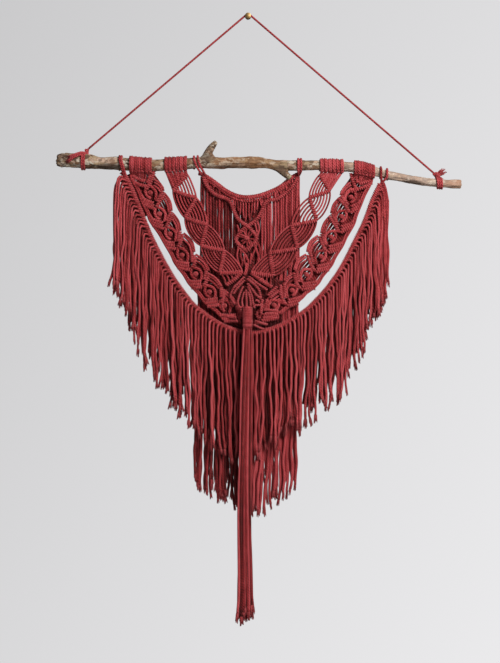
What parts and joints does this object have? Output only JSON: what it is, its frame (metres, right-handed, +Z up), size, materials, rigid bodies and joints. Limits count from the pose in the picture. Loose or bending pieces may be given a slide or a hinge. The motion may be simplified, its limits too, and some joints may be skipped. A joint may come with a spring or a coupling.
{
  "type": "macrame wall hanging with its driftwood branch and nail",
  "caption": "Knotted cotton wall hanging with fan and diamond bands, layered fringes and a long tassel, tied along a driftwood branch that a taut cord hangs from a nail.",
  "frame": {"origin": "centre of the nail's flat end, on the wall plane", "axes": "+X to the right along the branch as seen from the front, +Z up, +Y into the wall; the hanging faces -Y"},
  "size_m": [0.6473, 0.0442, 0.98],
  "materials": {
    "cotton": "matte single-strand cotton string, brick red",
    "wood": "weathered bare driftwood, tan with dark streaks",
    "nail_metal": "dull aged brass"
  },
  "bodies": {
    "root": {"branch": "wood", "nail": "nail_metal", "hanging_cord": "cotton", "left_tie": "cotton", "right_tie": "cotton", "centre_panel": "cotton", "diamond_band_left": "cotton", "diamond_band_right": "cotton", "fan_band_left": "cotton", "fan_band_right": "cotton", "outer_fringe": "cotton", "centre_leaves": "cotton", "tassel": "cotton"}
  },
  "joints": []
}
